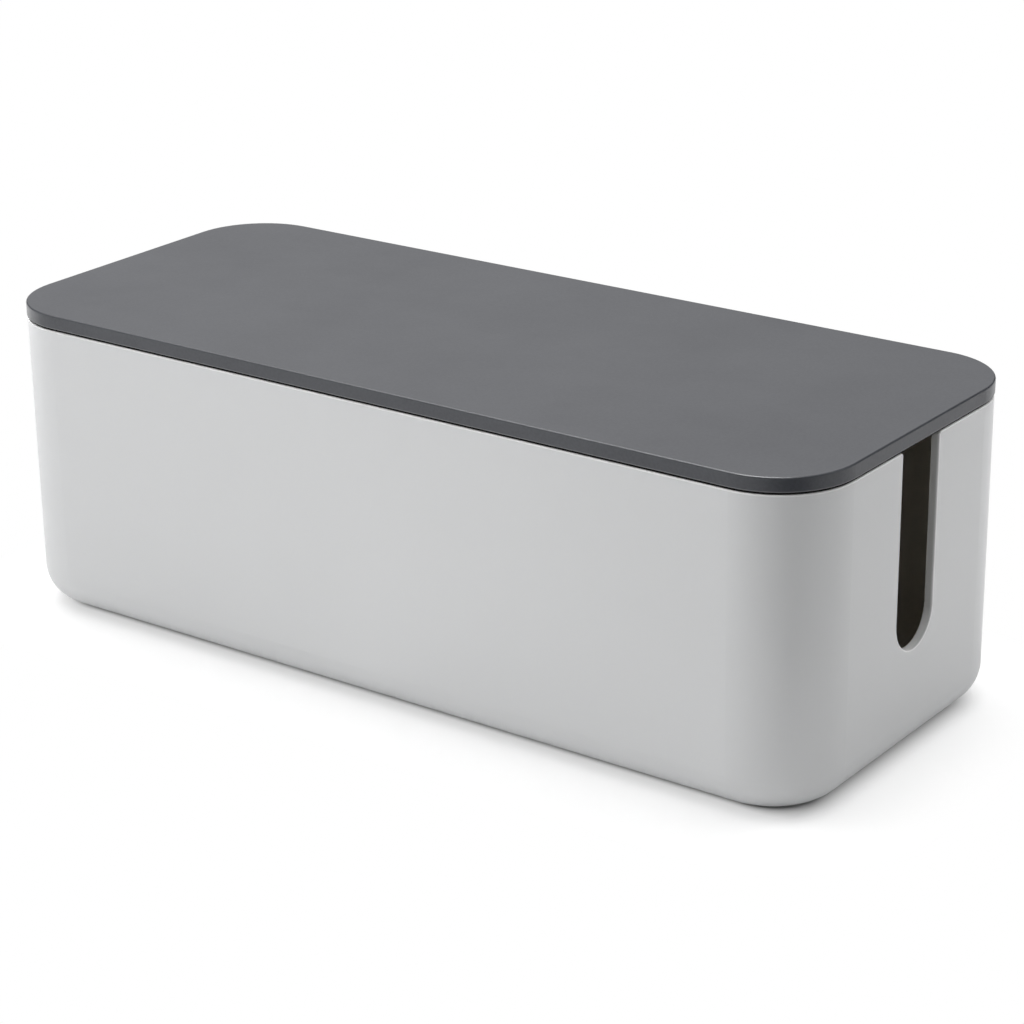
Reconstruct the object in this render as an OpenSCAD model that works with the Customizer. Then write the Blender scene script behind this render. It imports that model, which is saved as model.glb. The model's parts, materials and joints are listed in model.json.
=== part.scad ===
// Cable management box: a moulded box that hides a power strip and its plugs, with a
// cable slot down each end, a lift-off lid and four stick-on rubber feet.
// Millimetres, +Z up, +X along the length. The origin is on the table, under the middle
// of the box.

/* [Overall] */
// Length over the lid
box_length = 400; // [300:1:480]
// Width over the lid
box_width = 166; // [130:1:220]
// Height from the table to the top of the lid
box_height = 136.5; // [110:0.5:180]
// Corner radius of the lid, seen from above
corner_r = 33; // [28:1:45]

/* [Box body] */
// Thickness of the walls
wall_t = 3.5; // [2.8:0.1:4.5]
// Thickness of the floor
floor_t = 3.5; // [2.6:0.1:6]
// Lean of the walls from the vertical, in degrees, so that the box leaves its mould
draft = 0.25; // [0.25:0.25:1.5]
// Round between the walls and the underside
bottom_r = 15.5; // [8:0.5:18]
// Round on the outer edge of the rim
rim_outer_r = 0.6; // [0.6:0.1:1.2]
// Round on the inner edge of the rim
rim_inner_r = 0.5; // [0.2:0.1:0.8]

/* [Cable slots] */
// Width of the slot in each end
slot_w = 28; // [16:1:50]
// Height of the slot's lowest point above the table
slot_bottom_z = 46; // [30:1:80]
// Round on the slot's outer edge
slot_edge_r = 0.4; // [0.2:0.1:0.5]
// Round where the slot's sides turn out into the rim
slot_mouth_r = 1.5; // [1.5:0.5:5]

/* [Lid] */
// Height of the lid's visible edge
lid_edge_h = 5.9; // [5:0.1:12]
// Thickness of the lid's flat plate
lid_plate_t = 3; // [2:0.1:4]
// Round on the lid's top edge
lid_top_r = 0.8; // [0.4:0.1:2]
// Round on the lid's lower edge
lid_lower_r = 0.3; // [0.2:0.1:1]
// How far the lid's edge stands out past the rim
lid_overhang = 0.2; // [0:0.1:2]
// Height of the dark gap between the lid's edge and the rim
shadow_gap = 1; // [0.4:0.1:1.5]
// How far the lid's seat is set back from the round of the rim
seat_setback = 0.2; // [0.1:0.1:0.6]

/* [Locating rib] */
// How far the rib under the lid reaches into the box
rib_depth = 5; // [3:0.5:12]
// Thickness of the rib
rib_t = 1.8; // [1.2:0.1:2.5]
// Clearance between the rib and the box's wall
rib_clearance = 0.5; // [0.3:0.1:1]
// Bevel that guides the rib into the box
rib_bevel = 0.8; // [0.3:0.1:1]
// How far the rib stops short of each side of a cable slot
rib_slot_margin = 4; // [1:0.5:10]

/* [Feet] */
// Diameter of a rubber foot
foot_d = 16; // [10:0.5:22]
// Thickness of a rubber foot
foot_t = 2; // [1.6:0.1:3]
// How far a foot stands out of the underside
foot_stand = 1; // [0.6:0.1:1.5]
// Round on the foot's lower edge
foot_edge_r = 0.5; // [0.2:0.1:0.5]
// Clearance round a foot in its recess
foot_clearance = 0.3; // [0.1:0.1:0.6]
// Distance of a foot's centre from the end and from the side of the box
foot_inset = 35; // [28:1:50]
// Diameter of the adhesive disc above a foot
adhesive_d = 15; // [8:0.5:16]
// Thickness of the adhesive disc
adhesive_t = 0.2; // [0.1:0.05:0.4]

/* [Hidden] */
$fn = 96;

body_color = [0.78, 0.78, 0.785];
lid_color = [0.44, 0.45, 0.47];
rubber_color = [0.13, 0.13, 0.14];
adhesive_color = [0.85, 0.84, 0.78];

// A cutter runs this far past the face that it opens
over = 1;
// A round's circle is this much larger than its radius, so that it meets its tangents
overrun = 0.001;
// The axes of the four corners, shared by the box and the lid
core_x = box_length / 2 - corner_r;
core_y = box_width / 2 - corner_r;

// Heights, from the table upwards
underside_z = foot_stand;
floor_z = underside_z + floor_t;
rim_z = box_height - lid_edge_h - shadow_gap;
lid_edge_z = rim_z + shadow_gap;
plate_z = box_height - lid_plate_t;
rib_z = rim_z - rib_depth;
slot_axis_z = slot_bottom_z + slot_w / 2;

// Distances outwards from a corner's axis, at the height of the rim
rim_x = corner_r - lid_overhang;
rim_inner_x = rim_x - wall_t;
seat_outer_x = rim_x - rim_outer_r - seat_setback;
seat_inner_x = rim_inner_x + rim_inner_r;
rib_outer_x = rim_inner_x - rib_clearance;
rib_inner_x = rib_outer_x - rib_t;

// A wall's outer and inner face at height z
function outer_x(z) = rim_x - (rim_z - z) * tan(draft);
function inner_x(z) = outer_x(z) - wall_t;
function heading(a) = [cos(a), sin(a)];

// What a round of radius r takes off a section's corner at p, whose two edges leave
// it at the angles a and b, counted anticlockwise
module round_waste(p, a, b, r) {
    half = (b - a) / 2;
    inwards = heading(a + half) / sin(half);
    centre = p + r * inwards;
    reach = r + over;
    difference() {
        polygon([centre,
                 centre + reach * heading(a - 90),
                 centre - reach * inwards,
                 centre + reach * heading(b + 90)]);
        translate(centre)
            circle(r + overrun);
    }
}

// A block with four rounded upright corners, between the heights z0 and z1. Its children
// are its half section: x runs outwards from a corner's axis and y is the height.
module rounded_block(z0, z1) {
    for (k = [0 : 3]) {
        across = k % 2 == 0 ? core_x : core_y;
        along = k % 2 == 0 ? core_y : core_x;
        rotate([0, 0, 90 * k]) {
            translate([across, along, 0])
                rotate_extrude()
                    children();
            translate([across, 0, 0])
                rotate([90, 0, 0])
                    linear_extrude(2 * along, center = true)
                        children();
        }
    }
    translate([-core_x - over, -core_y - over, z0])
        cube([2 * (core_x + over), 2 * (core_y + over), z1 - z0]);
}

// A rounded block with upright sides, x out from the corners' axes
module plain_block(x, z0, z1) {
    rounded_block(z0, z1)
        translate([0, z0])
            square([x, z1 - z0]);
}

// The outside of the box: leaning walls, rounded below and at the rim
module outside_section() {
    difference() {
        polygon([[0, underside_z], [outer_x(underside_z), underside_z],
                 [rim_x, rim_z], [0, rim_z]]);
        round_waste([outer_x(underside_z), underside_z], 90 - draft, 180, bottom_r);
        round_waste([rim_x, rim_z], 180, 270 - draft, rim_outer_r);
    }
}

// The hollow of the box, which runs out past the rim
module hollow_section() {
    difference() {
        polygon([[0, floor_z], [inner_x(floor_z), floor_z],
                 [inner_x(rim_z + over), rim_z + over], [0, rim_z + over]]);
        round_waste([inner_x(floor_z), floor_z], 90 - draft, 180, bottom_r - wall_t);
    }
    round_waste([rim_inner_x, rim_z], -90 - draft, 0, rim_inner_r);
}

// What rounding a wall's square edge at p takes off. The wall lies below p, towards +x
// or -x as wall_side says.
module edge_round_waste(p, wall_side) {
    centre = p + [wall_side * slot_edge_r, -slot_edge_r];
    difference() {
        translate([min(p.x - wall_side * over, centre.x), centre.y])
            square(slot_edge_r + over);
        translate(centre)
            circle(slot_edge_r);
    }
}

// Half of the slot's section across the wall: x runs from the slot's middle and y
// outwards from the wall's outer face
module slot_half_section() {
    translate([0, -wall_t - over])
        square([slot_w / 2, wall_t + 2 * over]);
    edge_round_waste([slot_w / 2, 0], 1);
}

// What one side of the slot's mouth loses: all but a post with a rounded edge
module mouth_waste() {
    difference() {
        translate([0, 0, -wall_t - over])
            cube([slot_w / 2 + slot_mouth_r, slot_mouth_r + over, wall_t + 2 * over]);
        translate([slot_w / 2 + slot_mouth_r, 0, 0])
            rotate_extrude()
                difference() {
                    translate([0, -wall_t - 2 * over])
                        square([slot_mouth_r, wall_t + 2 * over]);
                    edge_round_waste([slot_mouth_r, 0], -1);
                }
    }
}

// The cutter of one cable slot, square to the leaning end wall: a round bottom, two
// straight sides and a mouth that opens at the rim
module slot_cutter() {
    straight = (rim_z - slot_axis_z) / cos(draft) - slot_mouth_r;
    translate([core_x + outer_x(slot_axis_z), 0, slot_axis_z])
        rotate([0, draft, 0])
            rotate([90, 0, 90]) {
                rotate([0, 0, 180])
                    rotate_extrude(angle = 180)
                        slot_half_section();
                for (side = [0, 1])
                    mirror([side, 0, 0]) {
                        rotate([-90, 0, 0])
                            linear_extrude(straight)
                                mirror([0, 1])
                                    slot_half_section();
                        translate([0, straight, 0])
                            mouth_waste();
                    }
            }
}

// Holds a foot and its adhesive disc, which stand out of it by foot_stand
module foot_recess() {
    translate([0, 0, underside_z - over])
        cylinder(r = foot_d / 2 + foot_clearance,
                 h = foot_t + adhesive_t - foot_stand + over);
}

module box_body() {
    color(body_color)
        difference() {
            rounded_block(underside_z, rim_z)
                outside_section();
            rounded_block(floor_z, rim_z + over)
                hollow_section();
            slot_cutter();
            mirror([1, 0, 0])
                slot_cutter();
            for (sx = [-1, 1], sy = [-1, 1])
                at_foot(sx, sy)
                    foot_recess();
        }
}

// The lid: a plate whose squared edge sits on the rim, and a rib that keeps it in place
module lid_section() {
    difference() {
        polygon([[0, rim_z],
                 [seat_outer_x, rim_z],
                 [seat_outer_x, lid_edge_z],
                 [corner_r, lid_edge_z],
                 [corner_r, box_height],
                 [0, box_height]]);
        round_waste([corner_r, box_height], 180, 270, lid_top_r);
        round_waste([corner_r, lid_edge_z], 90, 180, lid_lower_r);
    }
}

// Inside the rib and up into the plate, with the bevel that guides it into the box
module rib_section() {
    polygon([[0, rib_z],
             [rib_outer_x - rib_bevel, rib_z],
             [rib_outer_x, rib_z + rib_bevel],
             [rib_outer_x, plate_z + lid_plate_t / 2],
             [0, plate_z + lid_plate_t / 2]]);
}

// Opens the rib in front of a cable slot, so that cables pass under the lid
module rib_gap() {
    gap_w = slot_w + 2 * rib_slot_margin;
    translate([core_x + rib_inner_x - over, -gap_w / 2, rib_z - over])
        cube([rib_t + 2 * over, gap_w, plate_z - rib_z + over]);
}

module locating_rib() {
    difference() {
        rounded_block(rib_z, plate_z + lid_plate_t / 2)
            rib_section();
        plain_block(rib_inner_x, rib_z - over, plate_z);
        rib_gap();
        mirror([1, 0, 0])
            rib_gap();
    }
}

module lid() {
    color(lid_color) {
        difference() {
            rounded_block(rim_z, box_height)
                lid_section();
            plain_block(seat_inner_x, rim_z - over, plate_z);
        }
        locating_rib();
    }
}

// The feet: rubber pads, each held in its recess by an adhesive disc
module at_foot(sx, sy) {
    translate([sx * (box_length / 2 - foot_inset), sy * (box_width / 2 - foot_inset), 0])
        children();
}

module rubber_foot() {
    color(rubber_color)
        rotate_extrude()
            difference() {
                square([foot_d / 2, foot_t]);
                round_waste([foot_d / 2, 0], 90, 180, foot_edge_r);
            }
}

module adhesive_disc() {
    color(adhesive_color)
        translate([0, 0, foot_t])
            cylinder(d = adhesive_d, h = adhesive_t);
}

box_body();
lid();
at_foot(-1, -1) rubber_foot();  // foot_front_left
at_foot(1, -1) rubber_foot();  // foot_front_right
at_foot(-1, 1) rubber_foot();  // foot_back_left
at_foot(1, 1) rubber_foot();  // foot_back_right
at_foot(-1, -1) adhesive_disc();  // foot_adhesive_front_left
at_foot(1, -1) adhesive_disc();  // foot_adhesive_front_right
at_foot(-1, 1) adhesive_disc();  // foot_adhesive_back_left
at_foot(1, 1) adhesive_disc();  // foot_adhesive_back_right
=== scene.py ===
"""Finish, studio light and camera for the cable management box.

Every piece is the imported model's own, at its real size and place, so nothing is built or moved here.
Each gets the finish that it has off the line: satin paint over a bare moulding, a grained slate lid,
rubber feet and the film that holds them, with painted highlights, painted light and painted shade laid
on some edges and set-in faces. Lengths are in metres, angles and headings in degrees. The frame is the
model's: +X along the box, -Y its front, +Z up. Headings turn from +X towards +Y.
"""

import json
import math

import bpy
import numpy as np
from mathutils import Matrix, Vector

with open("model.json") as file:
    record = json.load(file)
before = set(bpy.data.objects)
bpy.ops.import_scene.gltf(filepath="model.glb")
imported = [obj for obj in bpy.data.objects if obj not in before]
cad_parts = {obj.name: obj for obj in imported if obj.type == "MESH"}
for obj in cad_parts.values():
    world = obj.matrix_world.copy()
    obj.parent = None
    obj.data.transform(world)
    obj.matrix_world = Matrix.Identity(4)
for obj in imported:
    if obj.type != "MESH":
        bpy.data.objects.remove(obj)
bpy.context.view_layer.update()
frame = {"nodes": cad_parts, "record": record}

# Camera: where it stands, and how it looks. Yaw turns it left of +Y and pitch tips it down.
CAMERA_AT = (0.68313, -0.91473, 0.50012)
CAMERA_YAW = 36.307
CAMERA_PITCH = 20.152
CAMERA_ROLL = -0.724

# Lens: its focal length and the row of its axis, both in pixels of the square image
IMAGE_SIDE = 1024
FOCAL_PIXELS = 2935.5
AXIS_ROW = 460.0
SENSOR_WIDTH = 36.0
FARTHEST_SEEN = 100.0

# Room: heights above the horizon, and how brightly the walls glow there, all round from -180 on
WALL_GLOWS = (
    (0.0, (0.55, 1.42, 0.82, 0.42, 0.0, 0.90, 0.0, 0.11)),
    (30.0, (0.0, 0.49, 0.61, 0.36, 0.0, 1.95, 0.90, 1.27)),
    (60.0, (2.54, 0.56, 0.0, 2.31)),
)
BACKDROP_GLOW = 1.0

# Lamps: place, the point that each faces, size, glow, and whether it lights more than glints
LAMPS = {
    "left_top": ((-0.5, -0.2, 1.2), (0.0, 0.0, 0.0), (0.8, 0.8), 3.32, True),
    "front_strip": ((0.08, -0.45, 1.45), (0.0, 0.0, 0.1), (1.0, 0.5), 25.0, False),
}

# Table: its size, how much light it gives back to the box, and its tone and glow beside the box,
# which fade to plain white between two distances from the box's outline
TABLE_SIDE = 30.0
TABLE_BOUNCE = 0.85
TABLE_TONE = 0.50
BESIDE_GLOW = 0.515
WHITE_GLOW = 1.0
FADE_FROM = 0.004
FADE_TO = 0.042

# Painted contact shade under the bottom round: where it starts from the outline and how wide it is,
# first along the front and then along the right end, which faces away from the softbox and glows a
# little more. The one gives way to the other between two places along the box.
OUTLINE_REACH = 0.03224
SHADE_STARTS = (-0.0131, -0.0112)
SHADE_WIDTHS = (0.0050, 0.0160)
END_GLOW = 0.085
END_FROM = 0.165
END_TO = 0.189

# Stretches of the table that the box's sides mirror, each a ring sector that the camera doesn't see:
# centre, heading, half angle, nearest and farthest reach, and glow
PATCHES = {
    "unlit_table": ((0.190, -0.070), -37.0, 18.0, 0.08, 0.36, 0.0),
    "unlit_far": ((0.190, -0.070), -42.0, 33.0, 0.36, 4.0, 0.0),
    "lit_front": ((0.0, -0.083), -125.0, 30.0, 0.01, 4.0, 1.35),
    "lit_left": ((-0.170, -0.050), 160.0, 45.0, 0.42, 4.0, 2.0),
    "lit_behind": ((0.170, 0.050), 92.0, 22.0, 0.04, 4.0, 1.35),
}
PATCH_LIFT = 0.0015
PATCH_STEPS = 24

# Flag: an upright black card behind the right end, for the lid to mirror
FLAG_HEADING = 62.0
FLAG_DISTANCE = 1.2
FLAG_HALF_WIDTH = 0.55
FLAG_FROM = 0.25
FLAG_TO = 2.2

# Box body: its corners are rounds about a straight core, and its walls lean in towards the floor
CORE_X = 0.167
CORE_Y = 0.050
RIM_Z = 0.1296
RIM_REACH = 0.0328
LEAN = math.tan(math.radians(0.25))
BOTTOM_R = 0.0155
UNDERSIDE_Z = 0.001
SLOT_AXIS_Z = 0.060
SLOT_REACH = 0.0142

# Paint: how far under the skin it goes into a slot, the depths between which its colour darkens there
# as painted shade, and the heights between which it lightens as painted light in the slot's round
# bottom
PAINT_DEPTH = 0.0034
CUT_SHADE_FROM = 0.0004
CUT_SHADE_TO = 0.0012
BOTTOM_LIGHT_FROM = 0.0582
BOTTOM_LIGHT_TO = 0.0515

# Bands of the slots' edges, of the rim and of the lid's lower edge, coloured lighter as painted
# highlights
SLOT_BAND = 0.0005
RIM_BAND = 0.0006
RIM_BAND_Z = 0.1294
LID_BAND = 0.0004
LID_BAND_Z = 0.1308
LID_UNDERSIDE_Z = 0.13063

# Colours, linear; where there are two, the finish wanders from one to the other
PAINT = ((0.636, 0.643, 0.650), (0.658, 0.664, 0.670))
# painted highlight for the paint's edge bands
HIGHLIGHT_PAINT = (0.95, 0.95, 0.95)
# painted shade on faces set in from the skin, such as the slots' sides, then painted light at the
# slots' round bottom
SHADED_CUT_PAINT = (0.52, 0.52, 0.51)
LIT_BOTTOM_PAINT = (0.97, 0.97, 0.97)
BARE_MOULDING = ((0.79, 0.735, 0.645), (0.81, 0.755, 0.665))
SLATE = ((0.016, 0.018, 0.026), (0.066, 0.070, 0.080))
# painted highlight on the lid's lower edge, then painted shade under the lid over the rim
HIGHLIGHT_SLATE = (0.14, 0.143, 0.15)
SHADED_SLATE_UNDERSIDE = (0.012, 0.012, 0.012)
RUBBER = ((0.022, 0.022, 0.023), (0.040, 0.040, 0.041))
ADHESIVE = ((0.68, 0.64, 0.50), (0.78, 0.75, 0.64))
WHITE = (1.0, 1.0, 1.0)
BLACK = (0.0, 0.0, 0.0)

# Sizes of the broad blots and the fine specks of colour, and of the patches of gloss
PAINT_BLOTS = (0.09, 0.0006)
SLATE_BLOTS = (0.06, 0.0012)
RUBBER_BLOOM = 0.004
ADHESIVE_BLOTS = 0.002
PAINT_GLOSS = 0.03
SLATE_GLOSS = 0.02
ADHESIVE_GLOSS = 0.001

# Roughness, from the glossiest patch to the dullest, and how far light goes into the adhesive
PAINT_ROUGHNESS = (0.38, 0.46)
SLATE_ROUGHNESS = (0.34, 0.42)
UNDERSIDE_ROUGHNESS = 0.95
RUBBER_ROUGHNESS = (0.72, 0.86)
ADHESIVE_ROUGHNESS = (0.25, 0.4)
PLASTIC_IOR = 1.5
PLASTIC_SHINE = 0.5
UNDERSIDE_SHINE = 0.05
ADHESIVE_HAZE = 0.2
ADHESIVE_HAZE_DEPTH = 0.0005

# Grain: layers of hills, each with their size and their height
PAINT_GRAIN = ((0.0025, 0.000006), (0.0004, 0.000004))
SLATE_GRAIN = ((0.0016, 0.00001), (0.0003, 0.00001))
RUBBER_GRAIN = ((0.0007, 0.00002),)

# Octaves of noise in the colours and in the gloss
SOFT = 2.0
CRISP = 4.0


def new_finish(name):
    """A new material: (material, its node tree, its main shader)."""
    material = bpy.data.materials.new(name)
    material.use_nodes = True
    tree = material.node_tree
    return material, tree, tree.nodes["Principled BSDF"]


def fill(tree, socket, value):
    """Gives a socket a link from another node's output, a colour or a number."""
    if isinstance(value, bpy.types.NodeSocket):
        tree.links.new(value, socket)
    elif socket.type == "RGBA":
        socket.default_value = (*value, 1.0)
    else:
        socket.default_value = value


def add_node(tree, kind, inputs=(), **settings):
    """Adds a node, sets its properties, and fills its inputs in order."""
    node = tree.nodes.new(kind)
    for key, value in settings.items():
        setattr(node, key, value)
    for socket, value in zip(node.inputs, inputs):
        fill(tree, socket, value)
    return node


def maths(tree, operation, *values):
    """One step of arithmetic on numbers or outputs."""
    return add_node(tree, "ShaderNodeMath", values, operation=operation).outputs[0]


def hypotenuse(tree, first, second):
    """Square root of the sum of two squares."""
    squares = (maths(tree, "POWER", first, 2.0), maths(tree, "POWER", second, 2.0))
    return maths(tree, "SQRT", maths(tree, "ADD", *squares))


def ramp_between(tree, value, low, high, ease="LINEAR"):
    """0 up to the value low, and 1 from the value high on."""
    ends = (value, low, high)
    return add_node(tree, "ShaderNodeMapRange", ends, interpolation_type=ease).outputs[0]


def spread(tree, value, low, high):
    """Stretches a value from 0 to 1 over the range from low to high."""
    return add_node(tree, "ShaderNodeMapRange", (value, 0.0, 1.0, low, high)).outputs[0]


def blend(tree, kind, share, first, second):
    """Mixes two inputs of a kind, RGBA or FLOAT, where share says how much of the second."""
    node = add_node(tree, "ShaderNodeMix", data_type=kind)
    fill(tree, node.inputs["Factor"], share)
    fill(tree, node.inputs["A"], first)
    fill(tree, node.inputs["B"], second)
    return node.outputs["Result"]


def blend_colour(tree, share, first, second):
    """A colour between two."""
    return blend(tree, "RGBA", share, first, second)


def blend_number(tree, share, first, second):
    """A number between two."""
    return blend(tree, "FLOAT", share, first, second)


def place(tree):
    """The point's own place on the piece."""
    return add_node(tree, "ShaderNodeTexCoord").outputs["Object"]


def axes(tree):
    """The point's place along X, Y and Z."""
    return add_node(tree, "ShaderNodeSeparateXYZ", (place(tree),)).outputs


def cloud(tree, size, octaves=SOFT):
    """Soft noise from 0 to 1, whose blots are about size across."""
    node = add_node(tree, "ShaderNodeTexNoise")
    fill(tree, node.inputs["Vector"], place(tree))
    fill(tree, node.inputs["Scale"], 1 / size)
    fill(tree, node.inputs["Detail"], octaves)
    return node.outputs[0]


def mottle(tree, broad, fine):
    """Broad soft blots and fine specks together, from 0 to 1."""
    both = maths(tree, "ADD", cloud(tree, broad), cloud(tree, fine))
    return maths(tree, "MULTIPLY", both, 0.5)


def band(tree, value, centre, half_width):
    """1 where the value is at the centre, down to 0 at half_width from it."""
    away = maths(tree, "ABSOLUTE", maths(tree, "SUBTRACT", value, centre))
    share = maths(tree, "MINIMUM", maths(tree, "DIVIDE", away, half_width), 1.0)
    return maths(tree, "SUBTRACT", 1.0, share)


def grained(tree, layers):
    """A normal tipped by layers of soft hills, each of a size and a height."""
    normal = None
    for size, height in layers:
        node = add_node(tree, "ShaderNodeBump")
        fill(tree, node.inputs["Distance"], height)
        fill(tree, node.inputs["Height"], cloud(tree, size))
        if normal is not None:
            fill(tree, node.inputs["Normal"], normal)
        normal = node.outputs[0]
    return normal


def distance_from_core(tree):
    """Distance, seen from above, from the straight core of the box's corners.

    Outside the core it is the hypotenuse of how far the point is past the core along X and Y.
    Inside, where both are below 0, it is the larger of the two.
    """
    x, y, _ = axes(tree)
    over_x = maths(tree, "SUBTRACT", maths(tree, "ABSOLUTE", x), CORE_X)
    over_y = maths(tree, "SUBTRACT", maths(tree, "ABSOLUTE", y), CORE_Y)
    past = [maths(tree, "MAXIMUM", over, 0.0) for over in (over_x, over_y)]
    inside = maths(tree, "MINIMUM", maths(tree, "MAXIMUM", over_x, over_y), 0.0)
    return maths(tree, "ADD", hypotenuse(tree, *past), inside)


def depth_below_skin(tree):
    """How far a point lies under the body's outer skin.

    Above the bottom round it is the skin's reach at that height less the point's distance from the
    core. In the round it is the round's radius less the distance from the round's centre line, and
    over the flat of the floor it is the height above the underside.
    """
    height = axes(tree)[2]
    below_rim = maths(tree, "SUBTRACT", RIM_Z, height)
    reach = maths(tree, "SUBTRACT", RIM_REACH, maths(tree, "MULTIPLY", below_rim, LEAN))
    in_from_skin = maths(tree, "SUBTRACT", reach, distance_from_core(tree))
    down = maths(tree, "SUBTRACT", UNDERSIDE_Z + BOTTOM_R, height)
    out = maths(tree, "SUBTRACT", BOTTOM_R, in_from_skin)
    past = [maths(tree, "MAXIMUM", way, 0.0) for way in (down, out)]
    return maths(tree, "SUBTRACT", BOTTOM_R, hypotenuse(tree, *past))


def painted_edge_highlight(tree):
    """How much a point lies on the round of the rim or of a slot's edge, which gets a painted
    highlight.
    """
    x, y, z = axes(tree)
    below_axis = maths(tree, "MAXIMUM", maths(tree, "SUBTRACT", SLOT_AXIS_Z, z), 0.0)
    from_slot = hypotenuse(tree, y, below_axis)
    at_end = maths(tree, "GREATER_THAN", maths(tree, "ABSOLUTE", x), CORE_X)
    slot = maths(tree, "MULTIPLY", band(tree, from_slot, SLOT_REACH, SLOT_BAND), at_end)
    return maths(tree, "MAXIMUM", slot, band(tree, z, RIM_BAND_Z, RIM_BAND))


def paint_coat(tree, tone, depth):
    """The paint: painted highlight on the edge rounds, painted shade on faces set in from the skin,
    such as a slot's sides, and painted light at a slot's round bottom.
    """
    coat = blend_colour(tree, tone, *PAINT)
    coat = blend_colour(tree, painted_edge_highlight(tree), coat, HIGHLIGHT_PAINT)
    lit_bottom = ramp_between(tree, axes(tree)[2], BOTTOM_LIGHT_FROM, BOTTOM_LIGHT_TO)
    in_slot = blend_colour(tree, lit_bottom, SHADED_CUT_PAINT, LIT_BOTTOM_PAINT)
    return blend_colour(tree, ramp_between(tree, depth, CUT_SHADE_FROM, CUT_SHADE_TO), coat, in_slot)


def painted_moulding():
    """Satin silver-grey paint outside, and the bare warm grey moulding inside."""
    material, tree, main = new_finish("satin_paint_over_moulding")
    tone = mottle(tree, *PAINT_BLOTS)
    depth = depth_below_skin(tree)
    inside = maths(tree, "GREATER_THAN", depth, PAINT_DEPTH)
    bare = blend_colour(tree, tone, *BARE_MOULDING)
    skin = blend_colour(tree, inside, paint_coat(tree, tone, depth), bare)
    roughness = spread(tree, cloud(tree, PAINT_GLOSS, CRISP), *PAINT_ROUGHNESS)
    fill(tree, main.inputs["Base Color"], skin)
    fill(tree, main.inputs["Roughness"], roughness)
    fill(tree, main.inputs["Normal"], grained(tree, PAINT_GRAIN))
    fill(tree, main.inputs["IOR"], PLASTIC_IOR)
    return material


def slate_moulding():
    """Fine-grained slate grey plastic with a painted highlight along its lower edge; coarse, matt and
    darker on the step and the rib below that edge, as painted shade in the gap over the rim.
    """
    material, tree, main = new_finish("slate_grained_plastic")
    height = axes(tree)[2]
    below = maths(tree, "LESS_THAN", height, LID_UNDERSIDE_Z)
    skin = blend_colour(tree, mottle(tree, *SLATE_BLOTS), *SLATE)
    skin = blend_colour(tree, band(tree, height, LID_BAND_Z, LID_BAND), skin, HIGHLIGHT_SLATE)
    skin = blend_colour(tree, below, skin, SHADED_SLATE_UNDERSIDE)
    roughness = spread(tree, cloud(tree, SLATE_GLOSS, CRISP), *SLATE_ROUGHNESS)
    roughness = blend_number(tree, below, roughness, UNDERSIDE_ROUGHNESS)
    shine = blend_number(tree, below, PLASTIC_SHINE, UNDERSIDE_SHINE)
    fill(tree, main.inputs["Base Color"], skin)
    fill(tree, main.inputs["Roughness"], roughness)
    fill(tree, main.inputs["Specular IOR Level"], shine)
    fill(tree, main.inputs["Normal"], grained(tree, SLATE_GRAIN))
    fill(tree, main.inputs["IOR"], PLASTIC_IOR)
    return material


def foot_rubber():
    """Dark matt rubber with a dusty bloom."""
    material, tree, main = new_finish("matt_rubber")
    bloom = cloud(tree, RUBBER_BLOOM, CRISP)
    fill(tree, main.inputs["Base Color"], blend_colour(tree, bloom, *RUBBER))
    fill(tree, main.inputs["Roughness"], spread(tree, bloom, *RUBBER_ROUGHNESS))
    fill(tree, main.inputs["Normal"], grained(tree, RUBBER_GRAIN))
    return material


def adhesive_film():
    """Hazy yellowish acrylic adhesive, with a few trapped bubbles of air."""
    material, tree, main = new_finish("acrylic_adhesive")
    roughness = spread(tree, cloud(tree, ADHESIVE_GLOSS), *ADHESIVE_ROUGHNESS)
    skin = blend_colour(tree, cloud(tree, ADHESIVE_BLOTS), *ADHESIVE)
    fill(tree, main.inputs["Base Color"], skin)
    fill(tree, main.inputs["Roughness"], roughness)
    fill(tree, main.inputs["Subsurface Weight"], ADHESIVE_HAZE)
    fill(tree, main.inputs["Subsurface Scale"], ADHESIVE_HAZE_DEPTH)
    return material


def dress_pieces():
    """Gives every node the finish of its material slot."""
    finishes = {
        "painted_body": painted_moulding(),
        "lid_plastic": slate_moulding(),
        "foot_rubber": foot_rubber(),
        "adhesive": adhesive_film(),
    }
    for part in frame["record"]["subparts"]:
        materials = frame["nodes"][part["node"]].data.materials
        materials.clear()
        materials.append(finishes[part["material_slot"]])


def add_camera():
    """The camera, with its optical axis a little above the image's middle row."""
    yaw, pitch, roll = (math.radians(angle) for angle in (CAMERA_YAW, CAMERA_PITCH, CAMERA_ROLL))
    flat = math.cos(pitch)
    ahead = Vector((-math.sin(yaw) * flat, math.cos(yaw) * flat, -math.sin(pitch)))
    level = Vector((math.cos(yaw), math.sin(yaw), 0.0))
    above = level.cross(ahead)
    right = level * math.cos(roll) + above * math.sin(roll)
    up = above * math.cos(roll) - level * math.sin(roll)
    turn = Matrix((right, up, -ahead)).transposed()
    data = bpy.data.cameras.new("camera")
    data.sensor_width = SENSOR_WIDTH
    data.lens = FOCAL_PIXELS / IMAGE_SIDE * SENSOR_WIDTH
    data.shift_y = (AXIS_ROW - IMAGE_SIDE / 2) / IMAGE_SIDE
    data.clip_end = FARTHEST_SEEN
    camera = bpy.data.objects.new("camera", data)
    camera.matrix_world = Matrix.Translation(CAMERA_AT) @ turn.to_4x4()
    bpy.context.scene.collection.objects.link(camera)
    bpy.context.scene.camera = camera


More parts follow.
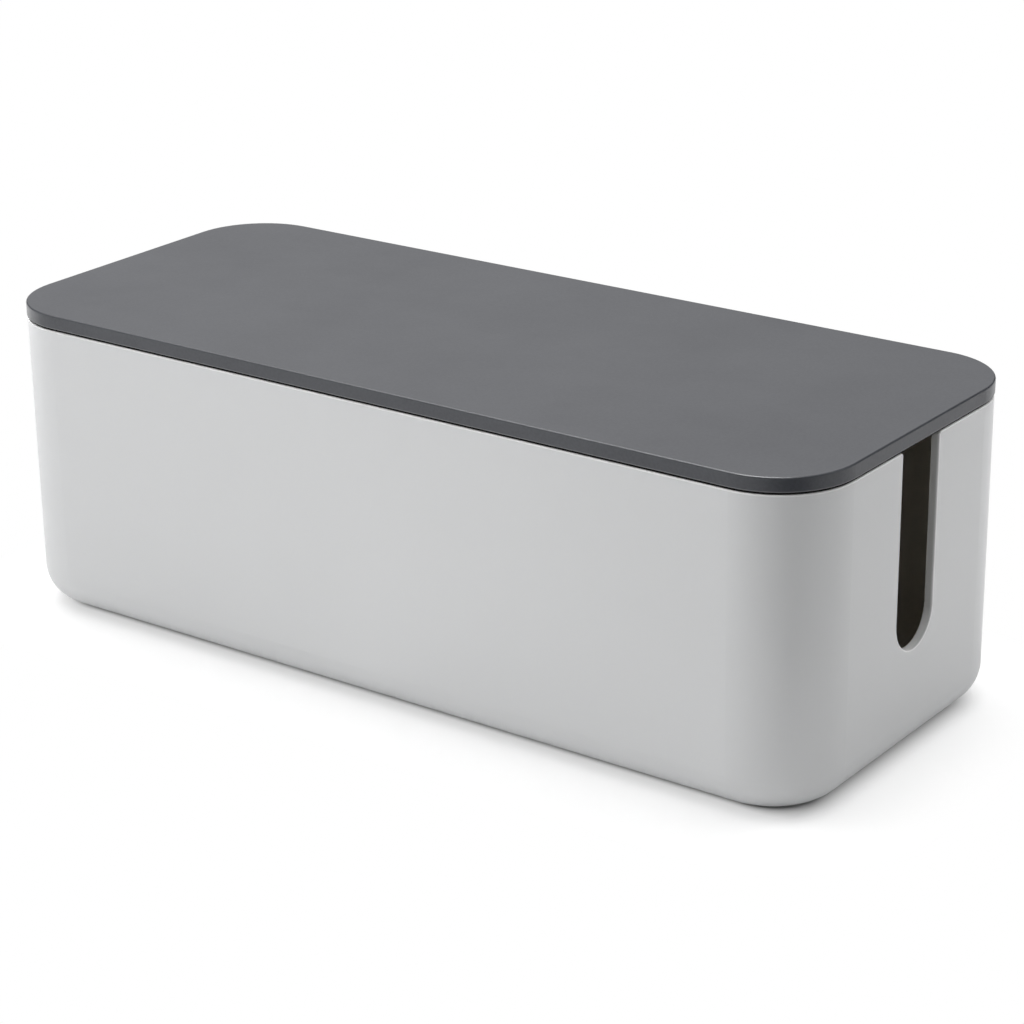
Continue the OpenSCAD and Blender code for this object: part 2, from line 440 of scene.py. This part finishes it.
def add_softbox(name, at, aim, size, glow, lights_matt):
    """A lamp with a soft rectangular front, whose radiance is glow."""
    data = bpy.data.lights.new(name, "AREA")
    data.shape = "RECTANGLE"
    data.size, data.size_y = size
    data.energy = glow * math.pi * data.size * data.size_y
    lamp = bpy.data.objects.new(name, data)
    lamp.location = at
    lamp.rotation_euler = (Vector(aim) - Vector(at)).to_track_quat("-Z", "Y").to_euler()
    lamp.visible_camera = False
    lamp.visible_diffuse = lights_matt
    bpy.context.scene.collection.objects.link(lamp)


def wall_glow(tree, heading, glows):
    """Glow of the walls at one height: it eases from each heading to the next, all the way round."""
    ring = (*glows, glows[0])
    brightest = max(ring)
    node = add_node(tree, "ShaderNodeValToRGB", (heading,))
    stops = node.color_ramp.elements
    node.color_ramp.interpolation = "EASE"
    while len(stops) < len(ring):
        stops.new(0.5)
    for step, glow in enumerate(ring):
        share = glow / brightest
        stops[step].position = step / (len(ring) - 1)
        stops[step].color = (share, share, share, 1.0)
    return maths(tree, "MULTIPLY", node.outputs["Color"], brightest)


def room_glow(tree):
    """Glow of the walls in each direction, eased from each height to the next."""
    direction = add_node(tree, "ShaderNodeTexCoord").outputs["Generated"]
    x, y, z = add_node(tree, "ShaderNodeSeparateXYZ", (direction,)).outputs
    turn = maths(tree, "ARCTAN2", y, x)
    heading = maths(tree, "MULTIPLY_ADD", turn, 0.5 / math.pi, 0.5)
    height = maths(tree, "ARCSINE", z)
    room = wall_glow(tree, heading, WALL_GLOWS[0][1])
    for (low, _), (high, glows) in zip(WALL_GLOWS, WALL_GLOWS[1:]):
        rise = ramp_between(tree, height, math.radians(low), math.radians(high), "SMOOTHSTEP")
        room = blend_number(tree, rise, room, wall_glow(tree, heading, glows))
    return room


def add_room():
    """Softly lit walls, which the camera sees as a plain white backdrop."""
    world = bpy.data.worlds.new("studio")
    world.use_nodes = True
    tree = world.node_tree
    directly = add_node(tree, "ShaderNodeLightPath").outputs["Is Camera Ray"]
    glow = blend_number(tree, directly, room_glow(tree), BACKDROP_GLOW)
    background = tree.nodes["Background"]
    fill(tree, background.inputs["Color"], WHITE)
    fill(tree, background.inputs["Strength"], glow)
    bpy.context.scene.world = world
    bpy.context.scene.view_settings.view_transform = "Standard"


def flat_piece(name, points, faces, material):
    """A flat stage piece from its points and faces."""
    mesh = bpy.data.meshes.new(name)
    mesh.from_pydata(np.asarray(points).tolist(), [], np.asarray(faces).tolist())
    mesh.materials.append(material)
    piece = bpy.data.objects.new(name, mesh)
    bpy.context.scene.collection.objects.link(piece)
    return piece


def table_glow(tree):
    """The table's glow beside the box, with a painted shadow under the bottom round, and its share of
    plain white.

    The shade rises from its start over its width as a parabola, steep first and level at the end.
    """
    outside = maths(tree, "SUBTRACT", distance_from_core(tree), OUTLINE_REACH)
    end = maths(tree, "POWER", ramp_between(tree, axes(tree)[0], END_FROM, END_TO), 2.0)
    start = spread(tree, end, *SHADE_STARTS)
    width = spread(tree, end, *SHADE_WIDTHS)
    shade = ramp_between(tree, outside, start, maths(tree, "ADD", start, width))
    shade = maths(tree, "MULTIPLY", shade, maths(tree, "SUBTRACT", 2.0, shade))
    near = maths(tree, "MULTIPLY", shade, maths(tree, "MULTIPLY_ADD", end, END_GLOW, BESIDE_GLOW))
    return near, ramp_between(tree, outside, FADE_FROM, FADE_TO, "SMOOTHSTEP")


def white_table():
    """Matt white, which takes the box's soft shadow, deepened by a painted shadow along its outline,
    and fades to plain white away from it.
    """
    material = bpy.data.materials.new("white_table")
    material.use_nodes = True
    tree = material.node_tree
    tree.nodes.clear()
    near, far = table_glow(tree)
    tone = add_node(tree, "ShaderNodeBsdfDiffuse", ((TABLE_TONE,) * 3,))
    glow = add_node(tree, "ShaderNodeEmission", (WHITE, near))
    beside = add_node(tree, "ShaderNodeAddShader", (tone.outputs[0], glow.outputs[0]))
    white = add_node(tree, "ShaderNodeEmission", (WHITE, WHITE_GLOW))
    seen = add_node(tree, "ShaderNodeMixShader", (far, beside.outputs[0], white.outputs[0]))
    bounce = add_node(tree, "ShaderNodeBsdfDiffuse", ((TABLE_BOUNCE,) * 3,))
    directly = add_node(tree, "ShaderNodeLightPath").outputs["Is Camera Ray"]
    either = add_node(tree, "ShaderNodeMixShader", (directly, bounce.outputs[0], seen.outputs[0]))
    add_node(tree, "ShaderNodeOutputMaterial", (either.outputs[0],))
    return material


def add_table():
    """The table under the box."""
    half = TABLE_SIDE / 2
    corners = [(-half, -half, 0.0), (half, -half, 0.0), (half, half, 0.0), (-half, half, 0.0)]
    flat_piece("table", corners, [(0, 1, 2, 3)], white_table())


def glowing(name, glow):
    """A black surface that gives off its own light."""
    material, tree, main = new_finish(name)
    fill(tree, main.inputs["Base Color"], BLACK)
    fill(tree, main.inputs["Specular IOR Level"], 0.0)
    fill(tree, main.inputs["Emission Color"], WHITE)
    fill(tree, main.inputs["Emission Strength"], glow)
    return material


def leave_to_mirrors(piece, dims_matt=False):
    """Hides a stage piece from the camera and from shadows, and mostly from matt surfaces too."""
    piece.visible_camera = False
    piece.visible_shadow = False
    piece.visible_diffuse = dims_matt


def add_patch(name, centre, heading, half_angle, nearest, farthest, glow):
    """A ring sector just over the table: its centre plus each reach along each turn of heading.

    An unlit one also dims what the box's matt surfaces see of the table.
    """
    turn = np.radians(heading + half_angle * np.linspace(-1, 1, PATCH_STEPS))
    reach = np.array([[nearest], [farthest]])
    x = centre[0] + reach * np.cos(turn)
    y = centre[1] + reach * np.sin(turn)
    points = np.stack([x, y, np.full_like(x, PATCH_LIFT)], axis=-1).reshape(-1, 3)
    first = np.arange(PATCH_STEPS - 1)
    faces = np.stack([first, PATCH_STEPS + first, PATCH_STEPS + first + 1, first + 1], axis=-1)
    patch = flat_piece(name, points, faces, glowing(name, glow))
    leave_to_mirrors(patch, dims_matt=glow == 0.0)


def add_flag():
    """The upright black card, square to its heading: from its middle, a step to each side."""
    turn = math.radians(FLAG_HEADING)
    ahead = np.array((math.cos(turn), math.sin(turn), 0.0))
    middle = FLAG_DISTANCE * ahead
    side = FLAG_HALF_WIDTH * np.array((-ahead[1], ahead[0], 0.0))
    low, high = (0.0, 0.0, FLAG_FROM), (0.0, 0.0, FLAG_TO)
    points = [middle - side + low, middle + side + low, middle + side + high, middle - side + high]
    leave_to_mirrors(flat_piece("flag", points, [(0, 1, 2, 3)], glowing("flag", 0.0)))


add_camera()
dress_pieces()
add_table()
for name, patch in PATCHES.items():
    add_patch(name, *patch)
add_flag()
add_room()
for name, lamp in LAMPS.items():
    add_softbox(name, *lamp)
